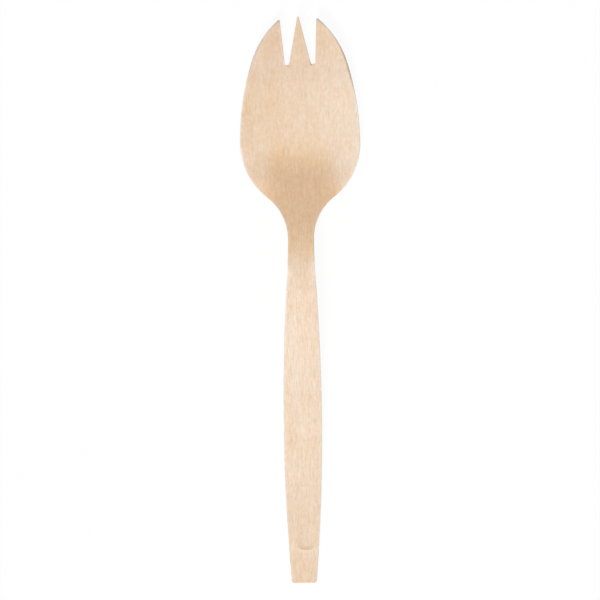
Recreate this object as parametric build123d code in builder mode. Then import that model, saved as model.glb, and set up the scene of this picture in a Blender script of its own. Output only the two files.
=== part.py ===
from build123d import *
from math import radians, sin, tan
import os

# A disposable spork, pressed from one sheet of birch veneer, lying on its back with the hollow up.
# X runs across it, Y from the end of the handle to the tips of the tines, and Z up.
# Lengths are in millimetres and angles in degrees. A station is a distance from the tine tips.

# The blank, seen from above
spork_length = 160.0
bowl_width = 34.0
widest_station = 35.7
neck_width = 7.4
neck_station = 62.8
grip_width = 10.85
grip_station = 113.5
end_width = 7.0
end_corner_radius = 0.8
# Where the bowl's long side arc hands over to the nose's, and how far the nose would reach past the tips
nose_width = 26.9
nose_station = 12.6
nose_overhang = 2.9
# How far along each S-curve its first arc hands over to its second
shoulder_share = 0.57
handle_share = 0.23

# The sheet
sheet_thickness = 1.8

# The three tines, parted by two tapered slots, in a pattern that leans a little to the left
slot_length = 13.5
slot_root_width = 1.15
slot_root_radius = 0.35
tine_half_angle = 12.2
side_tine_angle = 3.9
centre_tip_radius = 0.27
side_tip_radius = 0.35
tine_lean = 2.0
lean_station = 7.3

# The side view, along the underside: the corners of the line and the radius of each bend
tip_rise = 2.4
floor_start = 17.0
floor_end = 41.5
crest_station = 68.5
crest_height = 9.1
foot_length = 40.0
floor_start_radius = 100.0
floor_end_radius = 26.0
crest_radius = 45.0
foot_radius = 290.0
# How much of a run its bends may take: one bend that has it to itself, or each of two
end_run_share = 0.9
shared_run_share = 0.49

# The hollow across the bowl, and the ramp that climbs out of it to the neck
hollow_radius = 62.0
hollow_fade_start = 46.0
hollow_fade_length = 16.0
ramp_half_width = 11.2
ramp_sharpness = 5

# Flats worn by the press, which the bowl and the end of the handle rest on
rest_flat_depth = 0.08

# The shallow groove pressed into the top of the handle, deepest at its round end
groove_width = 4.7
groove_shift = 0.6
groove_start = 104.0
tab_length = 9.4
groove_corner_radius = 1.8
groove_depth = 0.2
groove_run_in = 42.0
groove_lift = 0.15

# How far the sheet reaches past the blank before it is cut, and how closely it is shaped
overrun = 3.0
section_count = 42
points_across = 13

tip_y = spork_length / 2
half_bowl = bowl_width / 2
sheet_reach = half_bowl + overrun
full_height = crest_height + 2 * sheet_thickness + 2 * overrun
foot_station = spork_length - foot_length
groove_end = spork_length - tab_length


def along(station):
    """The Y place of a distance from the tine tips."""
    return tip_y - station


def ease(share):
    """Rise smoothly from 0 to 1 as the share does."""
    held = min(max(share, 0), 1)
    return held * held * (3 - 2 * held)


def two_arcs(start, middle, end, direction):
    """Draw two tangent arcs that leave the start in a direction and meet at the middle."""
    first_arc = TangentArc(start, middle, tangent=direction)
    TangentArc(middle, end, tangent=first_arc % 1)


def s_curve(start, end, share):
    """Draw two tangent arcs that leave the start and reach the end along the spork."""
    middle = tuple(a + (b - a) * share for a, b in zip(start, end))
    two_arcs(start, middle, end, (0, -1))


# The side view: one line along the underside, from past the tips to past the handle's end
side_corners = [
    (along(-overrun), tip_rise * (1 + overrun / floor_start)),
    (along(floor_start), 0),
    (along(floor_end), 0),
    (along(crest_station), crest_height),
    (along(foot_station), 0),
    (along(spork_length + overrun), 0),
]
side_runs = [Vector(after) - Vector(before) for before, after in zip(side_corners, side_corners[1:])]
run_rooms = [run.length * shared_run_share for run in side_runs]
run_rooms[0] = side_runs[0].length * end_run_share
run_rooms[-1] = side_runs[-1].length * end_run_share

# Each bend keeps its radius, or the largest that the runs beside it leave room for
bend_radii = []
for place, wanted_radius in enumerate([floor_start_radius, floor_end_radius, crest_radius, foot_radius]):
    half_turn = radians(side_runs[place].get_angle(side_runs[place + 1])) / 2
    bend_room = min(run_rooms[place], run_rooms[place + 1])
    bend_radii.append(min(wanted_radius, bend_room / tan(half_turn)))

with BuildLine(Plane.YZ) as side_view:
    FilletPolyline(*side_corners, radius=bend_radii)
section_centres = [side_view.line @ (step / section_count) for step in range(section_count + 1)]
section_step = side_view.wire().length / section_count
floor_middle_y = along((floor_start + floor_end) / 2)


def underside_height(x, centre):
    """The height of the sheet's underside, beside a point on the side view."""
    hollow_fade = ease((along(hollow_fade_start) - centre.Y) / hollow_fade_length)
    hollow = x * x / (2 * hollow_radius) * (1 - hollow_fade)
    ramp_width = 1
    if centre.Y < floor_middle_y:
        ramp_width = 1 / (1 + (abs(x) / ramp_half_width) ** ramp_sharpness)
    return centre.Z * ramp_width + hollow - rest_flat_depth


def groove_floor_height(centre):
    """The height of the groove's floor at a point on the side view; it starts above the sheet."""
    run_in = ease((along(groove_start) - centre.Y) / groove_run_in)
    top = underside_height(groove_shift, centre) + sheet_thickness
    return top - groove_depth * run_in + groove_lift * (1 - run_in)


# Outline of the blank: its right half, mirrored
widest_point = (half_bowl, along(widest_station))
neck_point = (neck_width / 2, along(neck_station))
grip_point = (grip_width / 2, along(grip_station))
end_point = (end_width / 2, along(spork_length))
nose_joint = (nose_width / 2, along(nose_station))
nose_point = (0, along(-nose_overhang))

with BuildSketch() as blank_outline:
    with BuildLine():
        two_arcs(widest_point, nose_joint, nose_point, (0, 1))
        s_curve(widest_point, neck_point, shoulder_share)
        s_curve(neck_point, grip_point, handle_share)
        TangentArc(grip_point, end_point, tangent=(0, -1))
        Line(end_point, (0, along(spork_length)))
        mirror(about=Plane.YZ)
    make_face()
    end_vertices = blank_outline.vertices().group_by(Axis.Y)[0].sort_by(Axis.X)
    fillet([end_vertices[0], end_vertices[-1]], end_corner_radius)

# The slots: their inner sides would meet ahead of the centre tine, whose tip is rounded off there
centre_slope = tan(radians(tine_half_angle))
side_slope = tan(radians(side_tine_angle))
apex_reach = centre_tip_radius / sin(radians(tine_half_angle)) - centre_tip_radius
slot_inner_x = centre_slope * (slot_length + apex_reach)
slot_outer_x = slot_inner_x + slot_root_width
mouth_reach = nose_overhang + overrun
slot_run = slot_length + mouth_reach

with BuildSketch() as right_slot:
    with BuildLine():
        Polyline(
            (slot_inner_x, along(slot_length)),
            (slot_outer_x, along(slot_length)),
            (slot_outer_x + side_slope * slot_run, tip_y + mouth_reach),
            (slot_inner_x - centre_slope * slot_run, tip_y + mouth_reach),
            close=True,
        )
    make_face()
    fillet(right_slot.vertices().group_by(Axis.Y)[0], slot_root_radius)

with BuildSketch(Plane.XY.offset(-sheet_thickness)) as spork_outline:
    add(blank_outline.sketch)
    with Locations(Location((0, along(lean_station)), tine_lean)):
        slot_place = Location((0, -along(lean_station)))
        add(right_slot.sketch.moved(slot_place), mode=Mode.SUBTRACT)
        add(mirror(right_slot.sketch, Plane.YZ, mode=Mode.PRIVATE).moved(slot_place), mode=Mode.SUBTRACT)
    for is_side_tine, tip_radius in ((False, centre_tip_radius), (True, side_tip_radius)):
        front_vertices = spork_outline.vertices().filter_by_position(
            Axis.Y, along(overrun), tip_y + mouth_reach
        )
        fillet([v for v in front_vertices if (abs(v.X) > slot_inner_x) == is_side_tine], tip_radius)

# The groove's cutter: its floor follows the sheet, and its end has round corners
with BuildSketch(Plane.XY.offset(-sheet_thickness)) as groove_outline:
    with BuildLine():
        Polyline(
            (groove_shift - groove_width / 2, along(groove_start)),
            (groove_shift + groove_width / 2, along(groove_start)),
            (groove_shift + groove_width / 2, along(groove_end)),
            (groove_shift - groove_width / 2, along(groove_end)),
            close=True,
        )
    make_face()
    fillet(groove_outline.vertices().group_by(Axis.Y)[0], groove_corner_radius)

groove_front_y = along(groove_start - section_step)
groove_back_y = along(groove_end + section_step)

with BuildPart() as groove:
    for centre in section_centres:
        if groove_back_y <= centre.Y <= groove_front_y:
            with BuildSketch(Plane.XZ.offset(-centre.Y)):
                with Locations((groove_shift, groove_floor_height(centre))):
                    Rectangle(groove_width + overrun, overrun, align=(Align.CENTER, Align.MIN))
    loft()
    add(groove_outline.sketch)
    extrude(amount=full_height, mode=Mode.INTERSECT)

# The pressed sheet: cross-sections along the side view, joined up and cut to the outline
with BuildPart() as spork_body:
    for centre in section_centres:
        with BuildSketch(Plane.XZ.offset(-centre.Y)):
            with BuildLine():
                places = [sheet_reach * (2 * n / (points_across - 1) - 1) for n in range(points_across)]
                underside = [(x, underside_height(x, centre)) for x in places]
                lower_line = Spline(underside)
                upper_line = Spline([(x, z + sheet_thickness) for x, z in underside])
                Line(lower_line @ 0, upper_line @ 0)
                Line(lower_line @ 1, upper_line @ 1)
            make_face()
    loft()
    add(spork_outline.sketch)
    extrude(amount=full_height, mode=Mode.INTERSECT)
    split(bisect_by=Plane.XY, keep=Keep.TOP)
    add(groove.part, mode=Mode.SUBTRACT)

spork_body.part.label = "spork_body"
os.makedirs("parts", exist_ok=True)
export_step(spork_body.part, "parts/spork_body.step")
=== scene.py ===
import math

import bpy
import numpy as np
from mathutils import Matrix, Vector, noise
from mathutils.geometry import delaunay_2d_cdt
from mathutils.kdtree import KDTree


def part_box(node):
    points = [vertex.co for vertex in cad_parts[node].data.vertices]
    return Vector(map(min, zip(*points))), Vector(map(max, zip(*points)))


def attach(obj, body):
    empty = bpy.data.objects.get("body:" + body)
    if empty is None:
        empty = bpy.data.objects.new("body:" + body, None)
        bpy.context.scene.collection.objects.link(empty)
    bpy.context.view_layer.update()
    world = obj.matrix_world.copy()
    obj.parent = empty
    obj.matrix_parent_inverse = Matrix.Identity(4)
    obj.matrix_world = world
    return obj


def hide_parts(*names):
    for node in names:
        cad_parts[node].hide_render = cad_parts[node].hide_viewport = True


# A disposable spork, pressed from one sheet of birch veneer, on a white studio floor.
# Lengths are in metres and angles in degrees. A station is a distance from the tine tips.
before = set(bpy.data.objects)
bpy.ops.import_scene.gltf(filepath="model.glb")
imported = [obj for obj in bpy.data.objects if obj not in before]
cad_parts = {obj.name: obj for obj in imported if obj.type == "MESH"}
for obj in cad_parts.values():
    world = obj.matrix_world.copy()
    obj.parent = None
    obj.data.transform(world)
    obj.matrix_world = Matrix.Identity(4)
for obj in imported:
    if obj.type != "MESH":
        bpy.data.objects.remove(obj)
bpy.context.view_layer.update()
cad_low, cad_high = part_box("spork_body")

# The blank, seen from above: its length and width are those of the frame
tip_y = cad_high.y
spork_length = cad_high.y - cad_low.y
half_bowl = cad_high.x
widest_station = 0.0357
nose_width = 0.0269
nose_station = 0.0126
nose_overhang = 0.0029
neck_width = 0.0074
neck_station = 0.0628
grip_width = 0.01085
grip_station = 0.1135
end_width = 0.007
end_corner_radius = 0.0008
shoulder_share = 0.57
handle_share = 0.23

# The slots between the tines
slot_length = 0.0135
slot_root_width = 0.00115
slot_root_radius = 0.00035
tine_half_angle = 12.2
side_tine_angle = 3.9
centre_tip_radius = 0.00027
side_tip_radius = 0.00035
tine_lean = 2.0
lean_station = 0.0073
slot_reach = slot_length * math.tan(math.radians(tine_half_angle))

# The side view, along the underside
sheet_thickness = 0.0018
tip_rise = 0.0024
floor_start = 0.017
floor_end = 0.0415
crest_station = 0.0685
crest_height = 0.0091
foot_station = 0.12
bend_radii = (0.1, 0.026, 0.045, 0.29)
overrun = 0.003

# The hollow across the bowl, and the ramp that climbs out of it
hollow_radius = 0.062
hollow_fade_start = 0.046
hollow_fade_length = 0.016
ramp_half_width = 0.0112
ramp_sharpness = 5
rest_flat_depth = 0.00008

# The pressed groove, whose walls are soft
groove_width = 0.0047
groove_shift = 0.0006
groove_start = 0.104
groove_end = spork_length - 0.0094
groove_corner_radius = 0.0014
groove_straight = groove_width / 2 - groove_corner_radius
groove_depth = 0.00014
groove_run_in = 0.042
groove_wall = 0.0018
lip_height = 0.00008
lip_width = 0.0011
lip_run = 0.0025

# What the wood adds to the pressed shape: low waves and ridges along the grain, and a slightly rough cut
wave_across = 0.0048
wave_along = 0.021
wave_depth = 0.000024
ridge_across = 0.0011
ridge_along = 0.012
ridge_depth = 0.000009
cut_wander_length = 0.0016
cut_wander = 0.000018
wander_room_share = 0.125
top_seed = 3
low_seed = 7
cut_seed = 11

# The tone of the pale wood in linear light, and what tints it: each tint multiplies the tone. Some tints
# are the wood's own colour, and some are painted light and shade, as the comments above them say
wood_tone = (0.8, 0.624, 0.473)
bowl_tint = (1.045, 1.03, 0.995)
side_tint = (1.01, 1.02, 1.035)
# Painted shade: the ramp and neck turn away from the lamp, and their shade is painted on as a warmer, more
# yellow-tan colour
warm_shade_tint = (1.05, 0.945, 0.79)
# Painted light that brightens the ramp where it lies in shade
ramp_lift_tint = (1.065, 1.045, 1.055)
tine_tint = (0.94, 0.92, 0.905)
tine_end_tint = (0.955, 0.92, 0.87)
grip_tint = (1.035, 1.04, 1.045)
# Painted shade in the groove's end, whose wall faces away from the lamp, coloured yellow-brown
groove_end_shade_tint = (1.025, 0.973, 0.927)
# Painted highlight on the lip round the groove's end, which faces the lamp
lip_highlight_tint = (1.03, 1.07, 1.12)
tab_tint = (0.995, 0.965, 0.915)
# Painted sheen: paler to the right and warmer to the left, across the whole spork
right_sheen_tint = (0.986, 1.022, 1.06)
# Painted highlight along the rounded rims
rim_highlight_tint = (1, 1.05, 1.12)
# A stronger painted highlight on the left rims, which face the lamp
left_rim_highlight_tint = (1.035, 1.1, 1.18)
shoulder_rim_tint = (0.93, 0.97, 1.03)
# The cut walls: paler fresh-cut wood, and painted light that lifts the walls' shade
pale_cut_and_light_tint = (1.05, 1.08, 1.12)
# Painted shade: a brown line on the right outer rim near the tines, where the cut wall faces away from the
# lamp
right_rim_shade_tint = (0.63, 0.53, 0.47)
# Painted shade: a grey line on the left outer rim near the tines
left_rim_shade_tint = (0.83, 0.91, 1)
pale_band_tint = (1.03, 1.05, 1.06)
tip_tint = (0.72, 0.75, 0.83)
end_tint = (0.95, 0.92, 0.89)

# Where the zones' tints lie: where each starts, and over what length it comes in, along or across.
# The painted shade of the ramp and neck starts in an arch, and warm_shade_arch is how sharply that bends,
# per metre
tine_reach = 0.014
tine_fade = 0.01
tine_end_reach = 0.006
tine_end_fade = 0.008
warm_shade_start = 0.031
warm_shade_arch = 35
warm_shade_rise = 0.01
warm_shade_end = 0.063
warm_shade_fade = 0.01
warm_shade_shift = 0.0005
warm_shade_widening = 0.0035
warm_shade_widening_start = 0.044
warm_shade_widening_length = 0.008
# Where the painted light on the ramp lies
ramp_start = 0.042
ramp_rise = 0.005
ramp_end = 0.057
ramp_fade = 0.007
middle_half_width = 0.006
side_rise = 0.006
grip_start = 0.108
grip_rise = 0.01
tab_start = 0.138
tab_rise = 0.009

# Where the tints of the rims, the tips and the groove's end lie: along them, and how far in they reach
rim_width = 0.0003
rim_fade = 0.0004
shoulder_start = 0.04
shoulder_end = 0.06
shoulder_fade = 0.006
# Where the painted shade lines on the outer rims lie, and the band inside the rim that holds them
right_rim_shade_start = 0.004
right_rim_shade_reach = 0.0155
left_rim_shade_start = 0.003
left_rim_shade_reach = 0.011
rim_band_fade = 0.008
rim_band_inset = 0.00028
rim_band_width = 0.00045
pale_band_inset = 0.0009
pale_band_width = 0.0006
pale_band_reach = 0.017
pale_band_fade = 0.01
tip_reach = 0.0014
tip_edge_reach = 0.0058
# lip_highlight_reach is how far the painted highlight reaches beyond the groove's end
lip_highlight_reach = 0.0045
end_reach = 0.0014

# Streaks in the wood, and a patch of painted shade where the ramp starts to climb: the tint, from where to
# where across, and from which station to which
patch_side_fade = 0.0016
patch_end_fade = 0.005
streaks_and_painted_shade = (
    ((0.99, 0.955, 0.9), -0.018, -0.0125, 0.013, 0.03),
    ((1.003, 1.018, 1.04), 0.006, 0.018, 0.025, 0.034),
    ((1.02, 1.045, 1.07), -0.0135, -0.008, 0.031, 0.037),
    ((0.985, 0.985, 0.985), -0.0045, 0.0015, 0.034, 0.04),
    # Painted shade where the ramp starts to climb out of the bowl
    ((0.97, 0.98, 1), -0.005, 0.013, 0.0365, 0.0395),
    ((1.02, 1.035, 1.045), -0.018, -0.0158, 0.038, 0.044),
    ((1.05, 1.06, 1.08), -0.018, -0.0135, 0.037, 0.043),
    ((1.012, 1.02, 1.027), -0.0095, -0.004, 0.0425, 0.0475),
    ((1, 0.975, 0.93), 0.005, 0.0135, 0.048, 0.055),
    ((0.955, 0.96, 0.95), -0.014, -0.0055, 0.051, 0.059),
    ((1.05, 1.07, 1.1), -0.006, -0.0022, 0.068, 0.075),
    ((1.055, 1.07, 1.1), 0.0022, 0.006, 0.068, 0.074),
    ((1.03, 1.03, 1.01), -0.006, 0.006, 0.071, 0.0765),
    ((0.98, 0.95, 0.91), 0.0012, 0.004, 0.08, 0.085),
    ((1.015, 1.04, 1.07), 0.001, 0.0036, 0.09, 0.096),
    ((1, 1.035, 1.07), -0.004, -0.0008, 0.084, 0.113),
    ((0.97, 0.95, 0.92), -0.0042, -0.0014, 0.1165, 0.1215),
    ((0.985, 0.965, 0.95), 0.0012, 0.006, 0.118, 0.138),
    ((1.02, 1.04, 1.07), -0.0055, -0.0028, 0.142, 0.152),
    ((1.02, 1.04, 1.06), 0.0028, 0.0055, 0.142, 0.151),
)

# The rims: how round they are, how far the cut walls lean, and how much of a narrow place they may take
edge_radius = 0.00012
wall_lean_share = 0.18
rim_room_share = 0.75

# How finely the mesh follows the shape
outline_step = 0.00028
corner_steps = 10
grid_across = 0.00026
grid_along = 0.00055
grid_clearance = 0.6 * grid_across
groove_line_spread = 0.6 * groove_wall
groove_line_count = 9
groove_corner_steps = 12
edge_rings = 5
wall_rings = 6
slope_step = 0.00005
sheet_steps = 2000

# Amounts too small to matter, and the number of millimetres in a metre
tiny = 1e-9
cut_tolerance = 0.001
fill_tolerance = 1e-5
millimetres = 1000


def along(station):
    """The Y place of a distance from the tine tips."""
    return tip_y - station


groove_corner_y = along(groove_end - groove_corner_radius)


def ease(share):
    """Rise smoothly from 0 to 1 as the share does."""
    held = np.clip(share, 0, 1)
    return held * held * (3 - 2 * held)


def rise(place, start, length):
    """Rise smoothly from 0 at a start to 1 a length further on."""
    return ease((place - start) / length)


def fall(place, start, length):
    """Fall smoothly from 1 at a start to 0 a length further on."""
    return 1 - rise(place, start, length)


def between(place, first, last, fade):
    """1 between two places and 0 outside, with soft ends that have each place in their middle."""
    return rise(place, first - fade / 2, fade) * fall(place, last - fade / 2, fade)


def unit(vector):
    """A vector, or each of several, brought to length 1."""
    return vector / np.linalg.norm(vector, axis=-1, keepdims=True)


def turned(points, angle):
    """Points turned about the origin by an angle in radians."""
    cosine, sine = math.cos(angle), math.sin(angle)
    return points @ np.array([[cosine, sine], [-sine, cosine]])


def leftward(direction):
    """The direction a quarter turn to the left of another."""
    return np.array([-direction[1], direction[0]])


def turn_between(into, out):
    """The angle in radians from one direction to another, positive to the left."""
    return math.atan2(into[0] * out[1] - into[1] * out[0], into @ out)


# The shape of the sheet

side_corners = np.array(
    [
        (along(-overrun), tip_rise * (1 + overrun / floor_start)),
        (along(floor_start), 0),
        (along(floor_end), 0),
        (along(crest_station), crest_height),
        (along(foot_station), 0),
        (along(spork_length + overrun), 0),
    ]
)


def side_view_height(y):
    """The height of the underside on the middle line: straight runs joined by round bends."""
    height = np.interp(y, side_corners[::-1, 0], side_corners[::-1, 1])
    for before, corner, after, radius in zip(side_corners, side_corners[1:], side_corners[2:], bend_radii):
        into, out = unit(corner - before), unit(after - corner)
        turn = turn_between(into, out)
        reach = radius * math.tan(abs(turn) / 2)
        start, end = corner - into * reach, corner + out * reach
        side = math.copysign(1, turn)
        centre = start + side * radius * leftward(into)
        drop = np.sqrt(np.maximum(radius**2 - (y - centre[0]) ** 2, 0))
        arc = centre[1] + side * drop
        height = np.where((y <= start[0]) & (y >= end[0]), arc, height)
    return height


def underside(x, y):
    """The height of the sheet's underside."""
    station = tip_y - y
    hollow = x * x / (2 * hollow_radius) * fall(station, hollow_fade_start, hollow_fade_length)
    ramp = 1 / (1 + (np.abs(x) / ramp_half_width) ** ramp_sharpness)
    ramp = np.where(station > (floor_start + floor_end) / 2, ramp, 1)
    return np.maximum(side_view_height(y) * ramp + hollow - rest_flat_depth, 0)


def outside_groove(x, y):
    """How far outside the groove's outline a point is, or below zero how far inside."""
    across = np.maximum(np.abs(x - groove_shift) - groove_straight, 0)
    beyond = np.maximum(groove_corner_y - y, 0)
    return np.hypot(across, beyond) - groove_corner_radius


def topside(x, y):
    """The height of the sheet's top, with the groove pressed into it and the lip round the groove's end."""
    station = tip_y - y
    run_in = rise(station, groove_start, groove_run_in)
    outside = outside_groove(x, y)
    lip = lip_height * rise(station, groove_end - lip_run, lip_run)
    up_wall = 1 - np.clip(-outside / groove_wall, 0, 1)
    off_lip = 1 - np.clip(outside / lip_width, 0, 1)
    pressed = groove_depth * run_in * (1 - up_wall**2)
    return underside(x, y) + sheet_thickness - pressed + lip * up_wall**2 * off_lip**2


def grain_noise(x, y, across, along_grain, seed):
    """Smooth noise between 0 and 1 that is drawn out along the grain."""
    places = zip(np.ravel(x) / across, np.ravel(y) / along_grain)
    values = np.array([noise.noise(Vector((u, v, seed))) for u, v in places])
    return np.clip(0.5 + 0.5 * values, 0, 1).reshape(np.shape(x))


def relief(x, y, seed):
    """How far the wood's own waves and ridges lie below the pressed surface."""
    waves = grain_noise(x, y, wave_across, wave_along, seed) * wave_depth
    return waves + grain_noise(x, y, ridge_across, ridge_along, seed + 1) * ridge_depth


def slope(surface, x, y, direction):
    """How fast a surface climbs in a plan direction."""
    step_x, step_y = direction.T * slope_step
    return (surface(x + step_x, y + step_y) - surface(x - step_x, y - step_y)) / (2 * slope_step)


# The outline, as runs that meet at corners

toward_tips = np.array([0.0, 1.0])
toward_handle = np.array([0.0, -1.0])


def line_run(start, end):
    """The straight line from the start to the end."""
    count = max(2, int(np.linalg.norm(end - start) / outline_step) + 1)
    return start + (end - start) * np.linspace(0, 1, count)[:, None]


def arc_run(start, direction, end):
    """The round arc that leaves the start in a direction and reaches the end, and its direction there."""
    chord = end - start
    half_turn = turn_between(direction, chord)
    radius = np.linalg.norm(chord) / (2 * math.sin(half_turn))
    centre = start + radius * leftward(direction)
    count = int(abs(radius * 2 * half_turn) / outline_step) + 2
    turns = np.linspace(0, 2 * half_turn, count)
    points = np.array([centre + turned(start - centre, turn) for turn in turns])
    return points, turned(direction, 2 * half_turn)


def s_curve_run(start, end, share):
    """Two tangent arcs that leave the start and reach the end along the spork."""
    middle = start + (end - start) * share
    first, direction = arc_run(start, toward_handle, middle)
    second, _ = arc_run(middle, direction, end)
    return np.concatenate([first, second[1:]])


def cut_back(run, length):
    """A run without its first stretch of a length."""
    steps = np.linalg.norm(np.diff(run, axis=0), axis=1)
    travelled = np.concatenate([[0], np.cumsum(steps)])
    first = np.array([np.interp(length, travelled, run[:, axis]) for axis in (0, 1)])
    return np.concatenate([[first], run[travelled > length * (1 + cut_tolerance)]])


def join_rounded(runs_and_radii):
    """Close the runs into one loop and round the corner at the end of each one."""
    runs, radii = zip(*runs_and_radii)
    turns, reaches = [], []
    for run, following, radius in zip(runs, runs[1:] + runs[:1], radii):
        into, out = unit(run[-1] - run[-2]), unit(following[1] - following[0])
        turn = turn_between(into, out)
        turns.append(turn)
        reaches.append(radius * math.tan(abs(turn) / 2))
    loop = []
    for place, run in enumerate(runs):
        run = cut_back(run, reaches[place - 1])
        run = cut_back(run[::-1], reaches[place])[::-1]
        loop.append(run[:-1])
        into = unit(run[-1] - run[-2])
        radius, turn = radii[place], turns[place]
        centre = run[-1] + math.copysign(radius, turn) * leftward(into)
        for step in range(corner_steps):
            loop.append([centre + turned(run[-1] - centre, turn * step / corner_steps)])
    return np.concatenate(loop)


def side_run():
    """The right side of the blank, from the widest point to the end of the handle."""
    widest = np.array([half_bowl, along(widest_station)])
    neck = np.array([neck_width / 2, along(neck_station)])
    grip = np.array([grip_width / 2, along(grip_station)])
    end = np.array([end_width / 2, along(spork_length)])
    shoulder = s_curve_run(widest, neck, shoulder_share)
    handle = s_curve_run(neck, grip, handle_share)
    tail, _ = arc_run(grip, toward_handle, end)
    return np.concatenate([shoulder, handle[1:], tail[1:]])


def nose_run(start, slot_direction):
    """The right side of the nose, from the widest point to where a line from a start crosses it."""
    widest = np.array([half_bowl, along(widest_station)])
    joint = np.array([nose_width / 2, along(nose_station)])
    side, direction = arc_run(widest, toward_tips, joint)
    front, _ = arc_run(joint, direction, np.array([0, along(-nose_overhang)]))
    nose = np.concatenate([side, front[1:]])
    off_line = (start - nose) @ leftward(slot_direction)
    last = np.flatnonzero(off_line > 0)[-1]
    share = off_line[last] / (off_line[last] - off_line[last + 1])
    return np.concatenate([nose[: last + 1], [nose[last] + (nose[last + 1] - nose[last]) * share]])


def outline():
    """The blank's whole outline, counterclockwise from the left of the handle's end."""
    centre_slope = math.tan(math.radians(tine_half_angle))
    side_slope = math.tan(math.radians(side_tine_angle))
    # The centre tine's sides would meet this far beyond its round tip
    apex_reach = centre_tip_radius / math.sin(math.radians(tine_half_angle)) - centre_tip_radius
    inner_x = centre_slope * (slot_length + apex_reach)
    outer_x = inner_x + slot_root_width
    lean_centre = np.array([0, along(lean_station)])

    def leaned(x, y):
        """Where a point of upright tines lies once they lean."""
        return lean_centre + turned(np.array([x, y]) - lean_centre, math.radians(tine_lean))

    apex = leaned(0, along(-apex_reach))
    inner_roots = {side: leaned(side * inner_x, along(slot_length)) for side in (1, -1)}
    outer_roots = {side: leaned(side * outer_x, along(slot_length)) for side in (1, -1)}
    noses = {}
    for side in (1, -1):
        mirrored = np.array([side, 1])
        ahead = leaned(side * (outer_x + side_slope * slot_length), tip_y)
        slot_direction = unit(ahead - outer_roots[side]) * mirrored
        noses[side] = nose_run(outer_roots[side] * mirrored, slot_direction) * mirrored
    side = side_run()
    right = np.concatenate([side[::-1], noses[1][1:]])
    left = np.concatenate([noses[-1][::-1], (side * np.array([-1, 1]))[1:]])
    runs_and_radii = [
        (line_run(left[-1], right[0]), end_corner_radius),
        (right, side_tip_radius),
        (line_run(right[-1], outer_roots[1]), slot_root_radius),
        (line_run(outer_roots[1], inner_roots[1]), slot_root_radius),
        (line_run(inner_roots[1], apex), centre_tip_radius),
        (line_run(apex, inner_roots[-1]), slot_root_radius),
        (line_run(inner_roots[-1], outer_roots[-1]), slot_root_radius),
        (line_run(outer_roots[-1], left[0]), side_tip_radius),
        (left, end_corner_radius),
    ]
    return join_rounded(runs_and_radii)


# Loops of points, and what lies inside them


def outward(loop):
    """The outward direction at each point of a counterclockwise loop."""
    ahead = unit(np.roll(loop, -1, axis=0) - loop)
    behind = unit(loop - np.roll(loop, 1, axis=0))
    tangent = unit(ahead + behind)
    return np.stack([tangent[:, 1], -tangent[:, 0]], axis=1)


def room_inside(loop, normals):
    """The radius of the largest circle inside the loop that touches it at each point."""
    apart = loop[None, :, :] - loop[:, None, :]
    inward = -np.einsum("ijk,ik->ij", apart, normals)
    square = np.sum(apart**2, axis=2)
    radius = np.where(inward > tiny, square / (2 * np.maximum(inward, tiny)), np.inf)
    return radius.min(axis=1)


def inside(loop, points):
    """Which points lie inside a loop."""
    found = np.zeros(len(points), bool)
    for (x0, y0), (x1, y1) in zip(loop, np.roll(loop, -1, axis=0)):
        if y0 == y1:
            continue
        crosses = (points[:, 1] < y0) != (points[:, 1] < y1)
        found ^= crosses & (points[:, 0] < x0 + (points[:, 1] - y0) * (x1 - x0) / (y1 - y0))
    return found


def rim_tree(loop):
    """A tree that finds the nearest point of a loop."""
    tree = KDTree(len(loop))
    for place, (x, y) in enumerate(loop):
        tree.insert((x, y, 0), place)
    tree.balance()
    return tree


def fill(loop, extra_points):
    """Triangles inside a loop, on a grid that runs with the grain and on extra points.

    Each point comes with its place in the loop, or with a place past the loop's if it lies inside.
    """
    low, high = loop.min(axis=0), loop.max(axis=0)
    xs = np.arange(low[0], high[0], grid_across)
    ys = np.arange(low[1], high[1], grid_along)
    grid = np.array([(x + (row % 2) * grid_across / 2, y) for row, y in enumerate(ys) for x in xs])
    grid = np.concatenate([grid, extra_points])
    grid = grid[inside(loop, grid)]
    tree = rim_tree(loop)
    grid = grid[np.array([tree.find((x, y, 0))[2] > grid_clearance for x, y in grid])]
    count = len(loop)
    edges = [(place, (place + 1) % count) for place in range(count)]
    given = [Vector(point * millimetres) for point in np.concatenate([loop, grid])]
    inside_only = 1
    points, _, triangles, origins, _, _ = delaunay_2d_cdt(given, edges, [], inside_only, fill_tolerance)
    points = np.array([tuple(point) for point in points]) / millimetres
    places = np.array([origin[0] if origin else count for origin in origins])
    return points, triangles, places


def groove_points():
    """Extra points along the groove's soft wall, where the top bends most."""
    offsets = np.linspace(-groove_line_spread, groove_line_spread, groove_line_count)
    ys = np.arange(along(groove_end), along(groove_start), grid_along)
    points = []
    for offset in offsets:
        radius = groove_corner_radius + offset
        for side in (1, -1):
            x = groove_shift + side * (groove_width / 2 + offset)
            points += [(x, y) for y in ys if y > groove_corner_y]
            for angle in np.linspace(0, math.pi / 2, groove_corner_steps):
                x = groove_shift + side * (groove_straight + radius * math.cos(angle))
                points.append((x, groove_corner_y - radius * math.sin(angle)))
        for x in np.arange(-groove_straight, groove_straight, grid_across):
            points.append((groove_shift + x, groove_corner_y - radius))
    return np.array(points)


# The cut sheet: its outline, its two faces and its rims


def rough_cut(loop):
    """The outline as the cutter leaves it, with a slight wander, always inside the true one."""
    normals = outward(loop)
    room = room_inside(loop, normals)
    travelled = np.cumsum(np.linalg.norm(loop - np.roll(loop, 1, axis=0), axis=1))
    rough = grain_noise(travelled, travelled, cut_wander_length, cut_wander_length, cut_seed)
    return loop - normals * (rough * np.minimum(cut_wander, room * wander_room_share))[:, None]


def top_height(x, y):
    """The height of the sheet's top, with the wood's relief."""
    return topside(x, y) - relief(x, y, top_seed)


def low_height(x, y):
    """The height of the sheet's underside, with the wood's relief, which fades out where it rests."""
    height = underside(x, y)
    return height + relief(x, y, low_seed) * ease(height / rest_flat_depth)


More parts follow.
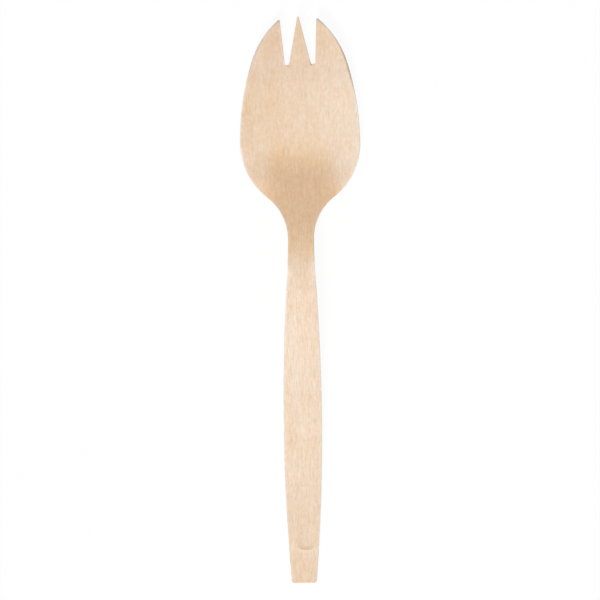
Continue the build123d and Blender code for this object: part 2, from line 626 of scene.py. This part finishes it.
def rim_rings(loop):
    """Rings of points from the top over the rounded rim, down the cut wall and under the sheet.

    The wall leans a little where the sheet climbs. Each ring comes with its depth in the sheet and
    with its share of cut surface.
    """
    normals = outward(loop)
    room = room_inside(loop, normals)
    climb = slope(underside, loop[:, 0], loop[:, 1], normals)
    lean = wall_lean_share * sheet_thickness * climb / np.sqrt(1 + climb**2)
    share = np.minimum(1, rim_room_share * room / (np.abs(lean) + edge_radius))
    radius = edge_radius * share
    top_edge = loop - normals * (np.maximum(lean, 0) * share)[:, None]
    low_edge = loop - normals * (np.maximum(-lean, 0) * share)[:, None]
    top_points = np.column_stack([top_edge, top_height(top_edge[:, 0], top_edge[:, 1])])
    low_points = np.column_stack([low_edge, low_height(low_edge[:, 0], low_edge[:, 1])])
    down = unit(low_points - top_points)

    def rounded(edge, height, step, way):
        """One ring of a rounded rim, its depth below its own face and its share of cut surface."""
        angle = math.pi / 2 * step / edge_rings
        plan = edge - normals * (radius * (1 - math.sin(angle)))[:, None]
        ring = np.column_stack([plan, height(plan[:, 0], plan[:, 1])])
        sunk = radius * (1 - math.cos(angle))
        return ring + way * down * sunk[:, None], sunk, np.full(len(loop), step / edge_rings)

    rings = [rounded(top_edge, top_height, step, 1) for step in range(edge_rings + 1)]
    upper = top_points + down * radius[:, None]
    lower = low_points - down * radius[:, None]
    for step in range(1, wall_rings):
        depth = radius + (sheet_thickness - 2 * radius) * step / wall_rings
        rings.append((upper + (lower - upper) * step / wall_rings, depth, np.ones(len(loop))))
    for step in reversed(range(edge_rings + 1)):
        ring, sunk, cut = rounded(low_edge, low_height, step, -1)
        rings.append((ring, sheet_thickness - sunk, cut))
    return rings


# The tints at each point


def side_tips(loop):
    """The foremost point of each side tine."""
    groups = [loop[loop[:, 0] < -slot_reach], loop[loop[:, 0] > slot_reach]]
    return [group[np.argmax(group[:, 1])] for group in groups]


def nearest_rim(loop, points):
    """The outward direction of the rim nearest to each point, and how far inside it the point is."""
    tree = rim_tree(loop)
    nearest = np.array([tree.find((x, y, 0))[1] for x, y in points[:, :2]])
    directions = outward(loop)[nearest]
    inset = np.einsum("ij,ij->i", loop[nearest] - points[:, :2], directions)
    return directions, np.maximum(inset, 0)


def zone_tints(x, station):
    """The tints of the zones along and across the spork, each with its share at each point: the wood's own
    tone, and painted shade, light and sheen on the ramp, the neck and the sides.
    """
    tine = fall(station, tine_reach, tine_fade)
    before_grip = fall(station, warm_shade_end, warm_shade_fade)
    widening = warm_shade_widening * rise(station, warm_shade_widening_start, warm_shade_widening_length)
    # Painted shade on the ramp and neck, which turn away from the lamp, in an arch across the bowl
    warm_shade = before_grip * rise(station - warm_shade_arch * x * x, warm_shade_start, warm_shade_rise)
    warm_shade = warm_shade * fall(np.abs(x - warm_shade_shift), middle_half_width + widening, side_rise)
    return [
        (tine_tint, tine),
        (tine_end_tint, fall(station, tine_end_reach, tine_end_fade)),
        (warm_shade_tint, warm_shade),
        # Painted light on the shaded ramp
        (ramp_lift_tint, rise(station, ramp_start, ramp_rise) * fall(station, ramp_end, ramp_fade)),
        (bowl_tint, before_grip * (1 - warm_shade) * (1 - tine)),
        (side_tint, rise(np.abs(x), middle_half_width, side_rise)),
        # Painted sheen, paler to the right and warmer to the left
        (right_sheen_tint, x / half_bowl),
        (grip_tint, rise(station, grip_start, grip_rise)),
        (tab_tint, rise(station, tab_start, tab_rise)),
    ]


def groove_shade_and_highlight_tints(x, station):
    """The painted shade in the groove's end and the painted highlight on the lip beyond it, each with its
    share at each point.
    """
    outside = outside_groove(x, along(station))
    at_end = rise(station, groove_end - lip_run, lip_run)
    return [
        (groove_end_shade_tint, at_end * rise(outside, -groove_wall, groove_wall) * (outside < 0)),
        (lip_highlight_tint, at_end * fall(outside, 0, lip_highlight_reach) * (outside >= 0)),
    ]


def rim_tints(points, cut, loop):
    """The tints of the rims, the cut walls and the tips, each with its share at each point: painted
    highlights on the rims, painted shade in lines along the outer rims, and cut walls that are paler wood
    and also hold painted light.
    """
    x, y = points[:, 0], points[:, 1]
    station = tip_y - y
    directions, inset = nearest_rim(loop, points)
    is_outer_rim = (x * directions[:, 0] > 0) & (np.abs(x) > slot_reach)
    outer_rim_band = is_outer_rim * fall(np.abs(inset - rim_band_inset), 0, rim_band_width)
    # Painted shade in lines along the outer rims near the tines, brown on the right and grey on the left
    right_rim_shade = outer_rim_band * (x > 0) * rise(station, right_rim_shade_start, rim_band_fade) * fall(station, right_rim_shade_reach, rim_band_fade)
    left_rim_shade = outer_rim_band * (x < 0) * rise(station, left_rim_shade_start, rim_band_fade) * fall(station, left_rim_shade_reach, rim_band_fade)
    pale_band = is_outer_rim * fall(np.abs(inset - pale_band_inset), 0, pale_band_width)
    rim = fall(inset, rim_width, rim_fade)
    at_end = rise(station, spork_length - end_reach, end_reach)
    pale = (1 - right_rim_shade - left_rim_shade) * (1 - at_end)
    at_shoulder = between(station, shoulder_start, shoulder_end, shoulder_fade)
    from_tip = np.min([np.hypot(x - tip[0], y - tip[1]) for tip in side_tips(loop)], axis=0)
    return [
        # Painted highlights on the rounded rims
        (rim_highlight_tint, rim * pale),
        # Paler cut walls, with painted light that lifts their shade
        (pale_cut_and_light_tint, cut * pale),
        (right_rim_shade_tint, right_rim_shade),
        (left_rim_shade_tint, left_rim_shade),
        (pale_band_tint, pale_band * fall(station, pale_band_reach, pale_band_fade)),
        # Painted highlight on the left rims, which face the lamp
        (left_rim_highlight_tint, rim * pale * np.clip(-x / half_bowl, 0, 1)),
        (shoulder_rim_tint, rim * at_shoulder * (x < 0)),
        (tip_tint, np.maximum(fall(from_tip, 0, tip_reach), outer_rim_band * fall(from_tip, 0, tip_edge_reach))),
        (end_tint, at_end),
    ]


def streak_and_painted_shade_tints(x, station):
    """The tints of the streaks, and of the painted shade among them, each with its share at each point."""
    return [
        (tint, between(x, left, right, patch_side_fade) * between(station, first, last, patch_end_fade))
        for tint, left, right, first, last in streaks_and_painted_shade
    ]


def wood_tint(points, cut, loop):
    """What the wood's tone is multiplied by at each point, once all the tints are laid on."""
    x, station = points[:, 0], tip_y - points[:, 1]
    laid = zone_tints(x, station) + groove_shade_and_highlight_tints(x, station) + streak_and_painted_shade_tints(x, station)
    product = np.ones((len(points), 3))
    for tint, share in laid + rim_tints(points, cut, loop):
        product *= 1 + share[:, None] * (np.array(tint) - 1)
    return product


# The mesh


def ring_faces(ring_count, count):
    """Four-sided faces that join each ring of points to the next one."""
    faces = []
    for ring in range(ring_count - 1):
        for place in range(count):
            here = ring * count + place
            beside = ring * count + (place + 1) % count
            faces.append((here, here + count, beside + count, beside))
    return faces


def close_ring(ring, ring_start, next_number, height, extra_points):
    """The new vertices and the triangles that close a ring, which is numbered from a given start."""
    points, triangles, places = fill(ring[:, :2], extra_points)
    is_new = places >= len(ring)
    numbers = np.where(is_new, next_number + np.cumsum(is_new) - 1, ring_start + places)
    x, y = points[is_new].T
    faces = [tuple(int(numbers[corner]) for corner in triangle) for triangle in triangles]
    return np.column_stack([x, y, height(x, y)]), faces


def grain_places(vertices, depth):
    """Each vertex's place in the wood, in millimetres: across, along the bent sheet and down into it."""
    ys = np.linspace(along(spork_length), tip_y, sheet_steps)
    steps = np.hypot(np.diff(ys), np.diff(side_view_height(ys)))
    along_sheet = np.interp(vertices[:, 1], ys, np.concatenate([[0], np.cumsum(steps)]))
    return np.column_stack([vertices[:, 0], along_sheet, depth]) * millimetres


def make_mesh(name, vertices, faces, values):
    """A smooth mesh whose vertices hold named values."""
    mesh = bpy.data.meshes.new(name)
    mesh.from_pydata([tuple(vertex) for vertex in vertices], [], faces)
    for value_name, numbers in values.items():
        kind, field = ("FLOAT", "value") if numbers.ndim == 1 else ("FLOAT_VECTOR", "vector")
        attribute = mesh.attributes.new(value_name, kind, "POINT")
        attribute.data.foreach_set(field, numbers.astype(np.float32).ravel())
    mesh.polygons.foreach_set("use_smooth", np.ones(len(mesh.polygons), bool))
    mesh.update()
    return mesh


def build_spork():
    """One closed mesh: the top, the rounded rims, the cut walls and the underside."""
    loop = rough_cut(outline())
    rings = rim_rings(loop)
    vertices = np.concatenate([ring for ring, _, _ in rings])
    depth = np.concatenate([ring_depth for _, ring_depth, _ in rings])
    cut = np.concatenate([ring_cut for _, _, ring_cut in rings])
    faces = ring_faces(len(rings), len(loop))
    top_ring, low_ring = rings[0][0], rings[-1][0]

    new, triangles = close_ring(top_ring, 0, len(vertices), top_height, groove_points())
    faces += triangles
    vertices = np.concatenate([vertices, new])
    depth = np.concatenate([depth, np.zeros(len(new))])

    low_start = len(cut) - len(loop)
    new, triangles = close_ring(low_ring, low_start, len(vertices), low_height, np.zeros((0, 2)))
    faces += [triangle[::-1] for triangle in triangles]
    vertices = np.concatenate([vertices, new])
    depth = np.concatenate([depth, np.full(len(new), sheet_thickness)])

    cut = np.concatenate([cut, np.zeros(len(vertices) - len(cut))])
    values = {
        "cut": cut,
        "grain": grain_places(vertices, depth),
        "tint": wood_tint(vertices, cut, loop),
    }
    spork = bpy.data.objects.new("spork", make_mesh("spork", vertices, faces, values))
    bpy.context.scene.collection.objects.link(spork)
    return spork


# Materials


class Nodes:
    """Adds nodes to a material or a world and links them."""

    def __init__(self, tree):
        self.tree = tree
        tree.nodes.clear()

    def add(self, kind, settings=None, **inputs):
        """A new node with its settings, and with its inputs fed by name."""
        node = self.tree.nodes.new(kind)
        for name, value in (settings or {}).items():
            setattr(node, name, value)
        for name, value in inputs.items():
            self.feed(node.inputs[name.replace("_", " ")], value)
        return node

    def feed(self, socket, value):
        """Link a socket into another one, or set it to a value."""
        if isinstance(value, bpy.types.NodeSocket):
            self.tree.links.new(value, socket)
        else:
            socket.default_value = value

    def fed(self, node, values):
        """The first output of a node, whose inputs are fed in their order."""
        for socket, value in zip(node.inputs, values):
            self.feed(socket, value)
        return node.outputs[0]

    def math(self, operation, *values):
        """The result of a sum on one to three numbers or sockets."""
        return self.fed(self.add("ShaderNodeMath", {"operation": operation}), values)

    def vector_math(self, operation, *values):
        """The result of a sum on one to three vectors or sockets."""
        return self.fed(self.add("ShaderNodeVectorMath", {"operation": operation}), values)

    def scaled(self, vector, scale):
        """A vector times a number or a socket."""
        return self.fed(self.add("ShaderNodeVectorMath", {"operation": "SCALE"}, Scale=scale), [vector])

    def mixed(self, share, first, second):
        """Two shader nodes, mixed by the share of the second."""
        return self.fed(self.add("ShaderNodeMixShader"), [share, first.outputs[0], second.outputs[0]])

    def attribute(self, name, output):
        """What the mesh's vertices hold under a name."""
        return self.add("ShaderNodeAttribute", {"attribute_name": name}).outputs[output]

    def patches(self, place, across, along_grain, seed, detail=1):
        """Noise from -1 to 1 in patches of a width and a length in millimetres, as deep as wide."""
        per_patch = (1 / across, 1 / along_grain, 1 / across)
        placed = self.vector_math("MULTIPLY_ADD", place, per_patch, (seed,) * 3)
        noise_node = self.add("ShaderNodeTexNoise", Vector=placed, Scale=1, Detail=detail, Roughness=0.5)
        return self.math("MULTIPLY_ADD", noise_node.outputs[0], 2, -1)

    def above(self, value, start, end):
        """0 below the start, 1 above the end, and smooth between."""
        node = self.add("ShaderNodeMapRange", {"interpolation_type": "SMOOTHSTEP"})
        return self.fed(node, [value, start, end])

    def seen(self):
        """1 for rays from the camera, from a glossy surface or through a clear one, and 0 for the rest."""
        path = self.add("ShaderNodeLightPath").outputs
        in_picture = self.math("MAXIMUM", path["Is Camera Ray"], path["Is Glossy Ray"])
        return self.math("MAXIMUM", in_picture, path["Is Transmission Ray"])


# The layers of grain: width and length of their patches in millimetres, how far they stray from the
# wood's tone in the handle and in the bowl, and how far in red, green and blue beside that
grain_layers = (
    (13, 34, 0.055, 0.08, (0.18, 0.55, 1.1)),
    (3.2, 40, 0.08, 0.06, (0.18, 0.55, 1)),
    (2.4, 9, 0.1, 0.12, (0.15, 0.5, 1)),
    (1.3, 3.4, 0.09, 0.13, (0.23, 0.52, 1)),
    (1.1, 4.5, 0.035, 0.035, (0.8, -0.2, -0.4)),
    (0.7, 12, 0.09, 0.08, (0.38, 0.6, 1)),
    (0.75, 1.3, 0.13, 0.17, (0.42, 0.65, 1)),
    (0.34, 3.2, 0.23, 0.12, (0.57, 0.74, 1)),
    (0.4, 0.8, 0.12, 0.08, (0.66, 0.82, 1)),
)
first_layer_seed = 11
# Where the handle's grain gives way to the bowl's, in millimetres along the sheet from the handle's end
bowl_grain_start = 92
bowl_grain_end = 108

# The rest of the wood: width and length of the patches in millimetres, and their seed
drift_patches = (16, 70, 5)
pore_patches = (0.16, 2.6, 31)
ray_patches = (0.34, 0.8, 37)
torn_patches = (0.3, 1.6, 43)
fibre_patches = (0.2, 3.5, 53)
# How far the grain drifts in millimetres, between which levels of noise marks start, and how dark they are
drift_reach = 1.6
pore_levels = (0.34, 0.6)
ray_levels = (0.42, 0.62)
pore_darkness = 0.1
ray_darkness = 0.07
mark_channels = (-0.8, -1, -1.25)
# The cut: how much finer its layers are through the sheet, and how far they stray from the tone
torn_layering = (1, 1, 2.4)
torn_strength = 0.35
torn_channels = (0.9, 1, 1.1)
# The surface. In the bump the fibres count once, and the pores and torn layers so many times
wood_roughness = 0.62
fibre_roughness = 0.08
cut_roughness = 0.15
pore_depth = 1.5
torn_depth = 4
bump_strength = 0.2
bump_distance = 0.00002
wood_ior = 1.45
wood_specular = 0.4


def wood_stray(nodes, grain, place):
    """How far the wood strays from its tone in red, green and blue, and where its pores are."""
    along_sheet = nodes.add("ShaderNodeSeparateXYZ", Vector=grain).outputs["Y"]
    in_bowl = nodes.above(along_sheet, bowl_grain_start, bowl_grain_end)
    stray = (0, 0, 0)
    for seed, layer in enumerate(grain_layers, start=first_layer_seed):
        across, along_grain, handle_strength, bowl_strength, channels = layer
        patch = nodes.patches(place, across, along_grain, seed)
        strength = nodes.math("MULTIPLY_ADD", in_bowl, bowl_strength - handle_strength, handle_strength)
        spread = nodes.scaled(channels, nodes.math("MULTIPLY", patch, strength))
        stray = nodes.vector_math("ADD", spread, stray)

    # Pores are short dark dashes along the grain, rays are small brown flecks
    pores = nodes.above(nodes.patches(place, *pore_patches, detail=0), *pore_levels)
    rays = nodes.above(nodes.patches(place, *ray_patches, detail=0), *ray_levels)
    dark = nodes.math("MULTIPLY_ADD", pores, pore_darkness, nodes.math("MULTIPLY", rays, ray_darkness))
    return nodes.vector_math("ADD", nodes.scaled(mark_channels, dark), stray), pores


def birch_veneer():
    """Pale hot-pressed birch: long grain that wanders, fine fibres, pores and flecks, rougher where cut."""
    material = bpy.data.materials.new("birch_veneer")
    material.use_nodes = True
    nodes = Nodes(material.node_tree)
    grain = nodes.attribute("grain", "Vector")
    tint = nodes.attribute("tint", "Vector")
    cut = nodes.attribute("cut", "Fac")

    # The grain wanders a little from side to side
    drift = nodes.patches(grain, *drift_patches, detail=0)
    sway = nodes.add("ShaderNodeCombineXYZ", X=nodes.math("MULTIPLY", drift, drift_reach))
    place = nodes.vector_math("ADD", grain, sway.outputs[0])
    stray, pores = wood_stray(nodes, grain, place)

    # A cut surface is rougher, in fine light and dark layers
    layers = nodes.patches(nodes.vector_math("MULTIPLY", grain, torn_layering), *torn_patches, detail=2)
    torn = nodes.math("MULTIPLY", nodes.math("MULTIPLY", layers, cut), torn_strength)
    stray = nodes.vector_math("ADD", nodes.scaled(torn_channels, torn), stray)

    # The tints, painted light and shade among them, laid on the wood's tone
    tone = nodes.vector_math("MULTIPLY", tint, wood_tone)
    colour = nodes.vector_math("MULTIPLY", tone, nodes.vector_math("ADD", stray, (1, 1, 1)))

    fibres = nodes.patches(place, *fibre_patches, detail=2)
    roughness = nodes.math("MULTIPLY_ADD", fibres, fibre_roughness, wood_roughness)
    roughness = nodes.math("MULTIPLY_ADD", cut, cut_roughness, roughness)
    height = nodes.math("SUBTRACT", fibres, nodes.math("MULTIPLY", pores, pore_depth))
    height = nodes.math("ADD", height, nodes.math("MULTIPLY", torn, torn_depth))
    bump = nodes.add("ShaderNodeBump", Strength=bump_strength, Distance=bump_distance, Height=height)
    shader = nodes.add(
        "ShaderNodeBsdfPrincipled",
        Base_Color=colour,
        Roughness=roughness,
        IOR=wood_ior,
        Specular_IOR_Level=wood_specular,
        Normal=bump.outputs[0],
    )
    nodes.add("ShaderNodeOutputMaterial", Surface=shader.outputs[0])
    return material


def white_floor():
    """Shown as plain white, but for a share that keeps the spork's shadow."""
    material = bpy.data.materials.new("white_floor")
    material.use_nodes = True
    nodes = Nodes(material.node_tree)
    matt = nodes.add("ShaderNodeBsdfDiffuse", Color=floor_colour)
    glow = nodes.add("ShaderNodeEmission", Color=white, Strength=1)
    glow_share = nodes.math("MULTIPLY", nodes.seen(), 1 - floor_shadow_share)
    nodes.add("ShaderNodeOutputMaterial", Surface=nodes.mixed(glow_share, matt, glow))
    return material


spork = build_spork()
spork.data.materials.append(birch_veneer())
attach(spork, "root")
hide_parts("spork_body")

# The camera: straight above, turned a little, as the photograph is, its lens and sensor in millimetres
frame_width = 0.16961
image_lean = -0.567
camera_lens = 500
sensor_width = 36
image_centre = (-0.00044, -0.00004)

# The light: a soft lamp beyond the handle's end and a little to the left, and a white room
key_direction = Vector((-0.27, -0.93, 1)).normalized()
key_softness = 16
key_level = 0.7
room_level = 0.3
white = (1, 1, 1, 1)

# The floor
floor_size = 6
floor_shadow_share = 0.05
floor_colour = (0.95, 0.95, 0.95, 1)


def add_camera():
    """The camera, straight above the spork."""
    camera = bpy.data.objects.new("camera", bpy.data.cameras.new("camera"))
    camera.data.lens = camera_lens
    camera.data.sensor_width = sensor_width
    camera.location = (*image_centre, frame_width * camera_lens / sensor_width)
    camera.rotation_euler = (0, 0, math.radians(image_lean))
    bpy.context.scene.collection.objects.link(camera)
    bpy.context.scene.camera = camera


def add_key():
    """The soft lamp, which shines along its own downward direction."""
    key = bpy.data.objects.new("key", bpy.data.lights.new("key", "SUN"))
    key.data.angle = math.radians(key_softness)
    key.data.energy = key_level * math.pi / key_direction.z
    key.rotation_mode = "QUATERNION"
    key.rotation_quaternion = key_direction.to_track_quat("Z", "Y")
    bpy.context.scene.collection.objects.link(key)


def add_room():
    """A world that lights the spork dimly and is seen as white."""
    world = bpy.data.worlds.new("room")
    world.use_nodes = True
    bpy.context.scene.world = world
    nodes = Nodes(world.node_tree)
    dim = nodes.add("ShaderNodeBackground", Color=white, Strength=room_level)
    bright = nodes.add("ShaderNodeBackground", Color=white, Strength=1)
    nodes.add("ShaderNodeOutputWorld", Surface=nodes.mixed(nodes.seen(), dim, bright))


add_camera()
add_key()
add_room()

bpy.ops.mesh.primitive_plane_add(size=floor_size)
floor = bpy.context.object
floor.name = "floor"
floor.data.materials.append(white_floor())

bpy.context.scene.view_settings.view_transform = "Standard"
